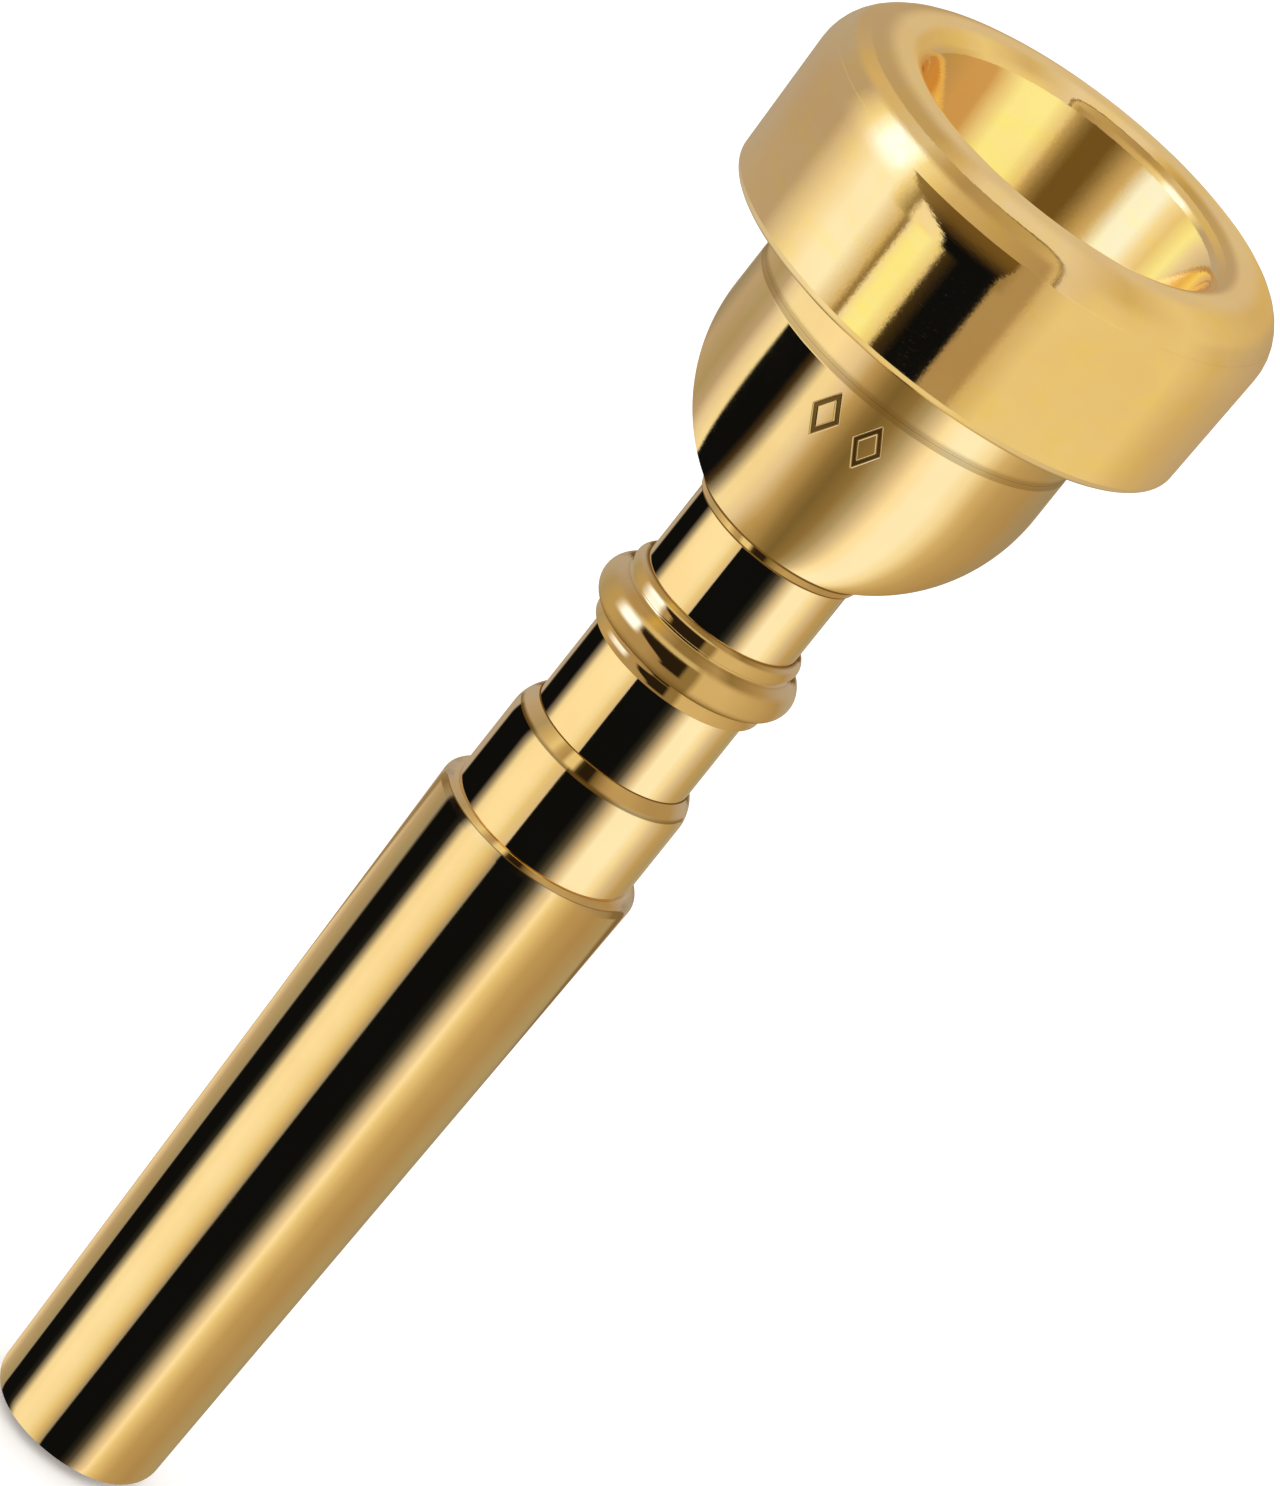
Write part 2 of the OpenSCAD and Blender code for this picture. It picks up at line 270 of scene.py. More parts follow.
class Nodes:
    """Short names for building a node tree."""

    def __init__(self, tree):
        self.tree = tree

    def add(self, kind, **settings):
        node = self.tree.nodes.new(kind)
        for key, value in settings.items():
            setattr(node, key, value)
        return node

    def link(self, source, target):
        self.tree.links.new(source, target)

    def value(self, socket, value):
        if hasattr(value, "links") or isinstance(value, bpy.types.NodeSocket):
            self.link(value, socket)
        else:
            socket.default_value = value

    def math(self, operation, a, b=0.0, c=0.0, clamp=False):
        node = self.add("ShaderNodeMath", operation=operation, use_clamp=clamp)
        for socket, value in zip(node.inputs, (a, b, c)):
            self.value(socket, value)
        return node.outputs[0]

    def vector(self, operation, a, b=(0, 0, 0)):
        node = self.add("ShaderNodeVectorMath", operation=operation)
        self.value(node.inputs[0], a)
        self.value(node.inputs[1], b)
        return node.outputs["Value" if operation == "DOT_PRODUCT" else "Vector"]

    def remap(self, value, from_low, from_high, to_low, to_high):
        node = self.add("ShaderNodeMapRange")
        for socket, v in zip(node.inputs, (value, from_low, from_high, to_low, to_high)):
            self.value(socket, v)
        return node.outputs[0]

    def step(self, value, low, high):
        """0 at low, 1 at high, smooth between; low may be above high."""
        node = self.add("ShaderNodeMapRange", interpolation_type="SMOOTHSTEP")
        for socket, v in zip(node.inputs, (value, low, high, 0, 1)):
            self.value(socket, v)
        return node.outputs[0]

    def blend(self, factor, a, b):
        """The number a where factor is 0, b where it is 1."""
        change = self.math("SUBTRACT", b, a)
        return self.math("ADD", self.math("MULTIPLY", change, factor), a)

    def excess(self, value, start, unit):
        """How far value is past start, in units, and 0 before it."""
        past = self.math("MAXIMUM", self.math("SUBTRACT", value, start), 0)
        return self.math("DIVIDE", past, unit)

    def ramp(self, value, stops):
        """Colour from (position -1..1, colour) stops."""
        node = self.add("ShaderNodeValToRGB")
        self.link(self.remap(value, -1, 1, 0, 1), node.inputs[0])
        elements = node.color_ramp.elements
        while len(elements) > 1:
            elements.remove(elements[-1])
        for number, (position, colour) in enumerate(stops):
            place = (position + 1) / 2
            element = elements[0] if number == 0 else elements.new(place)
            element.position = place
            element.color = colour
        return node.outputs[0]

    def mix(self, factor, a, b, blend="MIX"):
        node = self.add("ShaderNodeMix", data_type="RGBA", blend_type=blend)
        self.value(node.inputs[0], factor)
        self.value(node.inputs[6], a)
        self.value(node.inputs[7], b)
        return node.outputs[2]

    def noise(self, vector, scale, detail=2.0, rough=0.5):
        node = self.add("ShaderNodeTexNoise")
        self.link(vector, node.inputs["Vector"])
        node.inputs["Scale"].default_value = scale
        node.inputs["Detail"].default_value = detail
        node.inputs["Roughness"].default_value = rough
        return node.outputs["Fac"]

    def stretched(self, vector, x, y, z):
        node = self.add("ShaderNodeMapping")
        self.link(vector, node.inputs["Vector"])
        node.inputs["Scale"].default_value = (x, y, z)
        return node.outputs["Vector"]


def new_material(name):
    material = bpy.data.materials.new(name)
    material.use_nodes = True
    tree = material.node_tree
    tree.nodes.clear()
    nodes = Nodes(tree)
    shader = nodes.add("ShaderNodeBsdfPrincipled")
    output = nodes.add("ShaderNodeOutputMaterial")
    nodes.link(shader.outputs[0], output.inputs[0])
    return material, nodes, shader


def attribute(nodes, name):
    node = nodes.add("ShaderNodeAttribute")
    node.attribute_name = name
    return node.outputs["Fac"]


GOLD = (0.985, 0.715, 0.315, 1)
GOLD_DEEP = (0.93, 0.62, 0.235, 1)
GOLD_YELLOW = (0.99, 0.7, 0.2, 1)
BRASS_WORN = (0.96, 0.76, 0.44, 1)
# brown of the painted shade in hollows, creases and grooves
HOLLOW_SHADE_BROWN = (0.16, 0.085, 0.018, 1)


def gold(name, polish, haze, grain, tool_marks, streaks=0.0, clouds=0.0):
    """Gold plate: polish is its base roughness, haze the smudges' share, grain the fine bump, tool_marks the
    turned rings, streaks the short wiping marks round it and clouds the yellower patches."""
    material, nodes, shader = new_material(name)
    place = nodes.add("ShaderNodeTexCoord").outputs["Object"]
    tone = nodes.noise(place, 140, 3, 0.6)
    smudge = nodes.noise(nodes.stretched(place, 1, 1, 0.45), 260, 4, 0.62)
    hairline = nodes.noise(nodes.stretched(place, 1.0, 1.0, 14.0), 900, 2, 0.7)
    rings = nodes.noise(nodes.stretched(place, 0.0, 0.0, 1.0), 9000, 2, 0.6)
    fine = nodes.noise(place, 5200, 3, 0.6)
    worn = attribute(nodes, "worn")
    hollow_shade = attribute(nodes, "hollow_shade")
    patch = nodes.remap(nodes.noise(place, 700, 2, 0.5), 0.42, 0.62, 0.25, 1.0)
    rubbed = nodes.math("MULTIPLY", worn, patch)
    colour = nodes.mix(nodes.remap(tone, 0.35, 0.7, 0.0, 0.55), GOLD, GOLD_DEEP)
    cloud = nodes.noise(nodes.stretched(place, 1, 1, 1.6), 420, 3, 0.6)
    colour = nodes.mix(nodes.remap(cloud, 0.48, 0.66, 0.0, clouds), colour, GOLD_YELLOW)
    colour = nodes.mix(nodes.math("MULTIPLY", rubbed, 0.55), colour, BRASS_WORN)
    # painted shade: inward fillets, screw roots and engraved lines darken towards brown, and their roughness is
    # raised
    colour = nodes.mix(nodes.math("MULTIPLY", hollow_shade, 0.95), colour, HOLLOW_SHADE_BROWN)
    rough = nodes.remap(smudge, 0.45, 0.75, polish, polish + haze)
    rough = nodes.math("ADD", rough, nodes.remap(hairline, 0.5, 0.8, 0.0, haze * 0.5))
    rough = nodes.math("ADD", rough, nodes.math("MULTIPLY", rubbed, 0.08))
    rough = nodes.math("ADD", rough, nodes.math("MULTIPLY", hollow_shade, 0.25), clamp=True)
    height = nodes.math("MULTIPLY", fine, grain)
    height = nodes.math("ADD", height, nodes.math("MULTIPLY", rings, tool_marks))
    wiped = nodes.noise(nodes.stretched(place, 1.0, 1.0, 5.0), 1700, 2, 0.6)
    height = nodes.math("ADD", height, nodes.math("MULTIPLY", wiped, streaks))
    bump = nodes.add("ShaderNodeBump")
    bump.inputs["Strength"].default_value = 1.0
    bump.inputs["Distance"].default_value = 1.0 * MM
    nodes.link(height, bump.inputs["Height"])
    nodes.link(colour, shader.inputs["Base Color"])
    nodes.link(rough, shader.inputs["Roughness"])
    nodes.link(bump.outputs[0], shader.inputs["Normal"])
    shader.inputs["Metallic"].default_value = 1.0
    return material


def plain(name, light, dark, rough, grain, scale):
    """A matt plastic or rubber with a mottled colour and a fine moulded grain."""
    material, nodes, shader = new_material(name)
    place = nodes.add("ShaderNodeTexCoord").outputs["Object"]
    tone = nodes.noise(place, scale, 3, 0.6)
    fine = nodes.noise(place, scale * 6, 2, 0.6)
    nodes.link(nodes.mix(nodes.remap(tone, 0.35, 0.65, 0, 1), dark, light), shader.inputs["Base Color"])
    nodes.link(nodes.remap(fine, 0.3, 0.7, rough - 0.08, rough + 0.1), shader.inputs["Roughness"])
    bump = nodes.add("ShaderNodeBump")
    bump.inputs["Distance"].default_value = grain * MM
    nodes.link(fine, bump.inputs["Height"])
    nodes.link(bump.outputs[0], shader.inputs["Normal"])
    return material


polished = gold("gold_polished", polish=0.03, haze=0.04, grain=0.0003, tool_marks=0.0001)
brushed = gold("gold_brushed", polish=0.04, haze=0.05, grain=0.0008, tool_marks=0.0002)
satin = gold("gold_satin", polish=0.035, haze=0.05, grain=0.0012, tool_marks=0.0004, streaks=0.0028, clouds=0.5)
seal_plastic = plain("seal_plastic", (0.84, 0.83, 0.79, 1), (0.74, 0.72, 0.67, 1), 0.5, 0.01, 900)
rubber = plain("o_ring_rubber", (0.035, 0.035, 0.035, 1), (0.015, 0.015, 0.015, 1), 0.55, 0.01, 1500)

# ---------------------------------------------------------------- pieces

SEAT_Z = SEAL_TOP
RIM_BORE_R = RIM_THREAD_R + THREAD_GAP
BOSS_R = RIM_THREAD_R - THREAD_DEPTH
SOCKET_R = STEM_THREAD_R + THREAD_GAP
SPIGOT_R = STEM_THREAD_R - THREAD_DEPTH

# rim: flat underside, rounded lower edge, slightly flared side, rounded crown and bite, threaded skirt
OUTER_ROUND = 3.05
BITE_ROUND = 1.7
BITE_R = 8.63
BITE_LOW = RIM_TOP - BITE_ROUND
MIRROR_TILT = 28
rim_profile = outline([
    (RIM_BORE_R, RIM_LOW, 0.12),
    (RIM_R - 0.217, RIM_LOW, 0.55),
    (RIM_R + 0.092, RIM_TOP, OUTER_ROUND),
    (BITE_R, RIM_TOP, BITE_ROUND),
    (SEAT_R, SEAT_Z, 0.06),
    (RIM_BORE_R, SEAT_Z, 0.15),
])
rim_profile = refine(rim_profile, SEAT_Z, BITE_LOW + 0.3, 0.3, SEAT_R, RIM_BORE_R - 0.2)
rim_profile = refine(rim_profile, RIM_LOW, SEAT_Z, 0.05, RIM_BORE_R - 0.1, RIM_BORE_R + 0.1)
SHOULDER_Z = RIM_TOP - OUTER_ROUND
rim_profile = refine(rim_profile, SHOULDER_Z - 1.2, SHOULDER_Z, 0.08, RIM_R - 0.3, RIM_R + 0.1)
rim_profile = refine(rim_profile, SHOULDER_Z + 1.2, SHOULDER_Z + 1.42, 0.008, RIM_R - 0.6, RIM_R)


def ease(x, points):
    """Straight-line interpolation through (x, y) points."""
    return float(np.interp(x, [p[0] for p in points], [p[1] for p in points]))


def rim_lean(r, z, tilt, inward):
    if inward and r < SEAT_R + 1.7 and z > SEAT_Z:
        return max(tilt, MIRROR_TILT)
    if inward or z < SHOULDER_Z - 1:
        return tilt
    if z < SHOULDER_Z:
        return ease(z, [(SHOULDER_Z - 0.8, 0), (SHOULDER_Z, 9)])
    return ease(tilt, [(0, 9), (12, 16), (25.4, 22.5), (25.6, 35), (42, 43), (65, 66), (90, 90)])


rim_profile = lean(rim_profile, rim_lean)
rim_screw = screw(RIM_LOW + 0.25, SEAT_Z - 0.5, RIM_BORE_R, -1, 0.5)
rim = turned("screw_rim", rim_profile, "rim_body", "rim", satin, even_angles(192), rim_screw)

seal_profile = outline([
    (SEAT_R + 0.05, SEAL_LOW, 0.1),
    (SEAT_R + 0.6, SEAL_LOW, 0.1),
    (SEAT_R + 0.6, SEAL_TOP, 0.1),
    (SEAT_R + 0.05, SEAL_TOP, 0.1),
])
turned("seal_ring", seal_profile, "seal_body", "rim_seal", seal_plastic)

# cup: rounded bowl outside, flare under the rim, threaded boss, bowl and throat inside, threaded socket
ARC_R = 10.2
ARC_Z = CUP_LOW + 8.4
BAND_Z = RIM_LOW - 2.85
BAND_R = CUP_R + 0.18
FLARE_R = 0.45
BOWL_R = 8.21
BOWL_Z = SEAT_Z + 1.0
LIP_R = 2.0
LIP_Z = BOWL_Z - math.sqrt((BOWL_R + LIP_R) ** 2 - (THROAT_R + LIP_R) ** 2)
lip_angle = math.degrees(math.atan2(LIP_Z - BOWL_Z, THROAT_R + LIP_R))
socket_top = SPIGOT_TOP + 0.1
base_angle = math.degrees(math.asin((CUP_LOW - ARC_Z) / ARC_R))
mouth_angle = math.degrees(math.asin((BOSS_TOP - BOWL_Z) / BOWL_R))
cup_profile = outline(
    [(SOCKET_R, CUP_LOW, 0.1)]
    + [(CUP_R - ARC_R + ARC_R * math.cos(math.radians(base_angle)), CUP_LOW, 0.05)]
    + arc(CUP_R - ARC_R, ARC_Z, ARC_R, base_angle + 1.0, 0, 44)
    # a shallow groove under the band; its hollow carries painted shade, a soft brown line
    + [(CUP_R, BAND_Z - 0.3, 0.2)]
    + [(CUP_R - 0.02, BAND_Z, 0.2)]
    + [(CUP_R + 0.01, BAND_Z + 0.3, 0.2)]
    + [(BAND_R, RIM_LOW - FLARE_R, 0.0)]
    + arc(BAND_R + FLARE_R, RIM_LOW - FLARE_R, FLARE_R, 165, 100, 8)
    + [(BAND_R + FLARE_R, RIM_LOW, 0.03)]
    + [(BOSS_R, RIM_LOW, 0.1)]
    + [(BOSS_R, BOSS_TOP, 0.2)]
    + [(BOWL_R * math.cos(math.radians(mouth_angle)), BOSS_TOP, 0.05)]
    + arc(0, BOWL_Z, BOWL_R, mouth_angle - 1.0, lip_angle, 48)
    + arc(THROAT_R + LIP_R, LIP_Z, LIP_R, lip_angle + 180, 180, 16)[1:]
    + [(THROAT_R, socket_top, 0.08)]
    + [(SOCKET_R, socket_top, 0.1)]
)
MARK_Z = CUP_LOW + 9.1
MARK_DEPTH = 0.06
MARKS = (-1.9, 0.7)
MARK_HALF_W = 0.85
MARK_HALF_H = 1.4
MARK_LINE = 0.3
BASE_TILT = 30
cup_profile = refine(cup_profile, RIM_LOW + 0.2, BOSS_TOP, 0.05, BOSS_R - 0.1, BOSS_R + 0.1)
cup_profile = refine(cup_profile, CUP_LOW, socket_top, 0.05, SOCKET_R - 0.1, SOCKET_R + 0.1)
cup_profile = refine(cup_profile, MARK_Z - MARK_HALF_H - 0.3, MARK_Z + MARK_HALF_H + 0.3, 0.03, 7.5, 10)
cup_profile = refine(cup_profile, BAND_Z - 0.6, BAND_Z + 0.7, 0.05, CUP_R - 0.1, CUP_R + 0.1)
cup_profile = refine(cup_profile, BAND_Z + 0.7, RIM_LOW - 0.2, 0.3, CUP_R - 0.1, CUP_R + 0.1)


def cup_lean(r, z, tilt, inward):
    if inward:
        return max(tilt, MIRROR_TILT) if z > CUP_LOW + 8 else tilt
    if z > BAND_Z - 0.35 and r > SEAT_R:
        groove = max(0.0, 1 - abs(z - BAND_Z - 0.1) / 0.35)
        return 3.0 + 2.8 * groove + max(0.0, tilt)
    if z < ARC_Z and r > STEM_R + 0.2:
        return tilt * BASE_TILT / -base_angle
    return tilt


cup_profile = lean(cup_profile, cup_lean)


def lozenges(t, r, z):
    """Two small open lozenges engraved in the front of the bowl."""
    across = (t + math.pi / 2 + math.pi) % (2 * math.pi) - math.pi
    x = across * CUP_R
    span = math.hypot(MARK_HALF_W, MARK_HALF_H)
    groove = np.zeros_like(x)
    for middle in MARKS:
        reach = np.abs(x - middle) / MARK_HALF_W + np.abs(z - MARK_Z) / MARK_HALF_H
        depth_in = (1 - reach) * MARK_HALF_W * MARK_HALF_H / span
        edge = np.minimum(depth_in, MARK_LINE - depth_in)
        groove = np.maximum(groove, np.clip(edge / 0.06, 0, 1))
    groove = groove * groove * (3 - 2 * groove)
    outside = (r > 7.5) & (r < 9.5) & (np.abs(z - MARK_Z) < MARK_HALF_H + 0.2)
    # the engraved lines also get painted shade, which darkens them to brown
    return np.where(outside, -MARK_DEPTH * groove, 0.0), np.where(outside, groove, 0.0)


cup_shape = together(
    screw(RIM_LOW + 0.45, BOSS_TOP - 0.25, BOSS_R, 1, 0.2667),
    screw(CUP_LOW + 0.25, socket_top - 0.5, SOCKET_R, -1, 0.0),
    lozenges,
)
cup_angles = front_angles(120, 18, 0.18)
cup = turned("bowl_cup", cup_profile, "cup_body", "cup", brushed, cup_angles, cup_shape)

ring_profile = outline([
    (SOCKET_R, RING_LOW, 0.05),
    (STEM_R + 0.15, RING_LOW, 0.1),
    (STEM_R + 0.42, RING_TOP, 0.08),
    (SOCKET_R, RING_TOP, 0.05),
])
ring_profile = refine(ring_profile, RING_LOW, RING_TOP, 0.03, STEM_R, STEM_R + 0.6)


def ring_lean(r, z, tilt, inward):
    if inward:
        return tilt
    return 12.0 if RING_LOW + 0.12 < z < RING_TOP - 0.14 else 24.0


ring_profile = lean(ring_profile, ring_lean)
ring = turned("parting_ring", ring_profile, "ring_body", "joint_ring", polished)

# stem: plain tube with two O-ring grooves, screwed spigot, throat and backbore
GROOVES = (STEM_LOW + 3, STEM_LOW + 10.5)
GROOVE_R = STEM_R - 0.8
grooves = []
for middle in GROOVES:
    grooves += [
        (STEM_R, middle - 0.5, 0.06),
        (GROOVE_R, middle - 0.5, 0.08),
        (GROOVE_R, middle + 0.5, 0.08),
        (STEM_R, middle + 0.5, 0.06),
    ]
stem_profile = outline(
    [(BACKBORE_R, STEM_LOW, 0.08), (STEM_R, STEM_LOW, 0.2)]
    + grooves
    + [
        (STEM_R, RING_LOW, 0.05),
        (SPIGOT_R, RING_LOW, 0.1),
        (SPIGOT_R, SPIGOT_TOP, 0.3),
        (THROAT_R, SPIGOT_TOP, 0.1),
        (THROAT_R, LIP_Z - 8, 3.0),
    ]
)
stem_profile = refine(stem_profile, RING_LOW, SPIGOT_TOP, 0.05, SPIGOT_R - 0.1, SPIGOT_R + 0.1)
stem_screw = screw(CUP_LOW + 1.3, SPIGOT_TOP - 0.5, SPIGOT_R, 1, 0.0)
stem = turned("stem_tube", stem_profile, "stem_body", "stem", polished, None, stem_screw)

# bead: a full round between two small ones
BEAD_R = half_width("bead_ring")
BEAD_SMALL_R = 5.03
BEAD_FLOOR_R = 4.8
LOWER_H, BIG_H, UPPER_H = 0.85, 2.3, 1.05


def lobe(outer_r, low, height, start, end):
    """One round of the bead, from the angle or floor radius `start` to `end`."""
    radius = height / 2
    centre = outer_r - radius
    start, end = (
        a if a is not None else math.degrees(math.acos((BEAD_FLOOR_R - centre) / radius))
        for a in (start, end)
    )
    return arc(centre, low + radius, radius, start if start < 0 else -start, end, 20)


bead_profile = outline(
    [(STEM_R, BEAD_LOW, 0.0)]
    + lobe(BEAD_SMALL_R, BEAD_LOW, LOWER_H, -80, None)
    + lobe(BEAD_R, BEAD_LOW + LOWER_H, BIG_H, None, None)
    + lobe(BEAD_SMALL_R, BEAD_TOP - UPPER_H, UPPER_H, None, 80)
    + [(STEM_R, BEAD_TOP, 0.0)]
)


def bead_lean(r, z, tilt, inward):
    """Keeps the three rounds from mirroring each other; the creases between them turn brown."""
    if inward:
        return tilt
    if z > BEAD_TOP - UPPER_H:
        return ease(tilt, [(-90, 36), (-50, 32), (-30, 10), (8, 10), (20, 20), (90, 46)])
    if z < BEAD_LOW + LOWER_H:
        return ease(tilt, [(-90, -18), (-30, -11), (8, 8), (35, 10), (50, -16), (90, -18)])
    return ease(tilt, [(-90, -18), (-20, -13), (-12, -12), (20, 20), (90, 42)])


bead_profile = lean(bead_profile, bead_lean)
bead = turned("three_lobe_bead", bead_profile, "stem_body", "bead_ring", brushed)

# collar: plain sleeve with a long rounded shoulder
COLLAR_R = half_width("collar")
COLLAR_ARC = 2.2
collar_centre = COLLAR_R - COLLAR_ARC
collar_angle = math.degrees(math.acos((STEM_R - collar_centre) / COLLAR_ARC))
shoulder_z = COLLAR_TOP - COLLAR_ARC * math.sin(math.radians(collar_angle))
collar_profile = outline(
    [(STEM_R, COLLAR_LOW, 0.02), (COLLAR_R, COLLAR_LOW, 0.06)]
    + arc(collar_centre, shoulder_z, COLLAR_ARC, 0, collar_angle, 20)
)


def shoulder_lean(start, end, crease):
    """The wall's mirror image runs on over a shoulder up to the tilt start; crease darkens the end."""
    points = [(start - 2, 0), (start + 3, 6), (end, 13), (90, crease)]
    return lambda r, z, tilt, inward: ease(tilt, points) if not inward and tilt > 0 else tilt


collar_profile = lean(collar_profile, shoulder_lean(18, 40, 60))
collar = turned("stop_collar", collar_profile, "stem_body", "collar", polished)

# shank: 1:20 taper, rounded top shoulder, end that curves in to a narrow flat face
SHANK_TOP_R = 5.9
END_R = 4.85
EXIT_R = 4.15
END_ARC = 1.3
END_EDGE_R = END_R - 0.43
end_wall_r = END_R + 1 / 40
end_angle = math.degrees(math.acos((END_EDGE_R - end_wall_r + END_ARC) / END_ARC))
end_h = END_ARC * math.sin(math.radians(end_angle))
shank_profile = outline(
    [(EXIT_R, SHANK_LOW, 0.1)]
    + arc(end_wall_r - END_ARC, end_h, END_ARC, -end_angle, 0, 16)
    + [
        (SHANK_TOP_R, SHANK_TOP, 0.6),
        (STEM_R + 0.05, SHANK_TOP, 0.02),
        (STEM_R + 0.05, STEM_LOW - 0.05, 0.1),
        (BACKBORE_R, STEM_LOW - 0.05, 0.1),
    ]
)
shank_profile = lean(shank_profile, shoulder_lean(44, 70, 60))
shank = turned("tapered_shank", shank_profile, "shank_body", "shank", polished)

O_RING_R = 0.38
O_RING_CENTRE_R = STEM_R - 0.37
for number, middle in enumerate(GROOVES, 1):
    profile = outline(arc(O_RING_CENTRE_R, middle, O_RING_R, 0, 345, 23))
    turned(f"shank_o_ring_{number}", profile, "stem_body", "shank_o_rings", rubber)

# ---------------------------------------------------------------- camera, light and floor

camera_data = bpy.data.cameras.new("camera")
camera = bpy.data.objects.new("camera", camera_data)
bpy.context.scene.collection.objects.link(camera)
bpy.context.scene.camera = camera
ELEVATION = math.radians(21.17)
DISTANCE = 0.585
ROLL = math.radians(38.53)
AIM_RIGHT = 0.00133
FOCAL_MM = 283.5
target = Vector((0, 0, 0.048))
back = Vector((0, -math.cos(ELEVATION), math.sin(ELEVATION)))
camera.location = target + back * DISTANCE
rotation = (-back).to_track_quat("-Z", "Y") @ Quaternion((0, 0, 1), ROLL)
right = rotation @ Vector((1, 0, 0))
aim = target + right * AIM_RIGHT
rotation = (aim - camera.location).to_track_quat("-Z", "Y") @ Quaternion((0, 0, 1), ROLL)
camera.rotation_mode = "QUATERNION"
camera.rotation_quaternion = rotation
camera_data.sensor_width = 36
camera_data.lens = FOCAL_MM
camera_data.clip_start = 0.05
camera_data.clip_end = 20


PLATE = (0.965, 0.68, 0.285)


def glow(red, green, blue):
    """Linear colour for an 8-bit sRGB colour."""
    return tuple(((c / 255 + 0.055) / 1.055) ** 2.4 for c in (red, green, blue)) + (1,)


# what the plate shows when it mirrors the studio, from a black flag to a soft box's glare
BLACK = glow(14, 13, 10)
SMOKE = glow(38, 34, 22)
SOOT = glow(40, 26, 10)
UMBER = glow(68, 48, 20)
DUSK = glow(86, 72, 48)
BROWN = glow(112, 78, 28)
KHAKI = glow(120, 92, 42)
OLIVE = glow(142, 108, 52)
DRAB = glow(156, 134, 96)
STRAW = glow(172, 144, 90)
BRONZE = glow(174, 134, 74)
BRASS = glow(189, 149, 82)
TAN = glow(186, 153, 106)
ASH = glow(182, 158, 124)
COPPER = glow(206, 150, 76)
MARIGOLD = glow(204, 156, 60)
AMBER = glow(210, 169, 98)
SAND = glow(216, 182, 126)
PEACH = glow(230, 196, 138)
GILT = glow(232, 194, 116)
HONEY = glow(246, 213, 144)
BUFF = glow(254, 220, 151)
LEMON = glow(252, 229, 136)
CREAM = glow(255, 230, 172)
PEARL = glow(254, 242, 200)
WHITE = glow(280, 268, 234)


def light_dome(name, radius, middle, paint, receivers):
    """A big tent of soft boxes and dark flags round the object, seen only in reflections of the named pieces.

    It is painted by what will mirror it: each direction is turned into the surface normal that would send
    the camera's view there, as `side`, the sine of the normal's angle round the part, and `tilt`, its degrees
    above level. paint(nodes, side, tilt) gives the colour the plate should show, so the plate's own tint is
    divided out. middle is the height of the pieces' middle."""
    angles = np.linspace(0, 2 * math.pi, 48, endpoint=False)
    heights = np.radians(np.linspace(-88, 88, 25))
    co = [
        (radius * math.cos(h) * math.cos(a), radius * math.cos(h) * math.sin(a), radius * math.sin(h))
        for h in heights for a in angles
    ]
    count = len(angles)
    faces = [
        (j * count + i, j * count + (i + 1) % count, (j + 1) * count + (i + 1) % count, (j + 1) * count + i)
        for j in range(len(heights) - 1) for i in range(count)
    ]
    faces.append(tuple(range(count)))
    faces.append(tuple(range(len(co) - count, len(co))))
    mesh = bpy.data.meshes.new(name)
    mesh.from_pydata(co, [], faces)
    material = bpy.data.materials.new(name)
    material.use_nodes = True
    material.node_tree.nodes.clear()
    nodes = Nodes(material.node_tree)
    place = nodes.add("ShaderNodeTexCoord").outputs["Object"]
    direction = nodes.vector("NORMALIZE", place)
    drop = math.atan2(camera.location.z - middle, -camera.location.y)
    view = (0, math.cos(drop), -math.sin(drop))
    normal = nodes.vector("NORMALIZE", nodes.vector("SUBTRACT", direction, view))
    split = nodes.add("ShaderNodeSeparateXYZ")
    nodes.link(normal, split.inputs[0])
    up = split.outputs["Z"]
    flat = nodes.math("MAXIMUM", nodes.math("SUBTRACT", 1, nodes.math("MULTIPLY", up, up)), 1e-4)
    side = nodes.math("DIVIDE", split.outputs["X"], nodes.math("SQRT", flat))
    tilt = nodes.math("MULTIPLY", nodes.math("ARCSINE", up), 180 / math.pi)
    facing = nodes.math("MULTIPLY", nodes.vector("DOT_PRODUCT", normal, view), -1)
    grazing = nodes.math("POWER", nodes.math("SUBTRACT", 1, facing, clamp=True), 5)
    tint = nodes.mix(grazing, PLATE + (1,), (1, 1, 1, 1))
    # straight behind the part all sides meet in one point, so the paint fades to one tone there
    painted = nodes.mix(nodes.step(facing, 0.03, 0.16), ASH, paint(nodes, side, tilt))
    emission = nodes.add("ShaderNodeEmission")
    nodes.link(nodes.vector("DIVIDE", painted, tint), emission.inputs[0])
    clear = nodes.add("ShaderNodeBsdfTransparent")
    both = nodes.add("ShaderNodeAddShader")
    nodes.link(emission.outputs[0], both.inputs[0])
    nodes.link(clear.outputs[0], both.inputs[1])
    output = nodes.add("ShaderNodeOutputMaterial")
    nodes.link(both.outputs[0], output.inputs[0])
    mesh.materials.append(material)
    dome = bpy.data.objects.new(name, mesh)
    dome.location.z = middle
    bpy.context.scene.collection.objects.link(dome)
    dome.visible_camera = False
    dome.visible_diffuse = False
    dome.visible_shadow = False
    dome.visible_transmission = False
    collection = bpy.data.collections.new(name + "_lit")
    for piece in receivers:
        collection.objects.link(piece)
    dome.light_linking.receiver_collection = collection


def penumbra(start, step):
    """Stops where a black stripe that ends at start softens into gold over four steps."""
    return [(start + step * number, tone) for number, tone in enumerate((BLACK, SMOKE, DUSK, DRAB, SAND))]


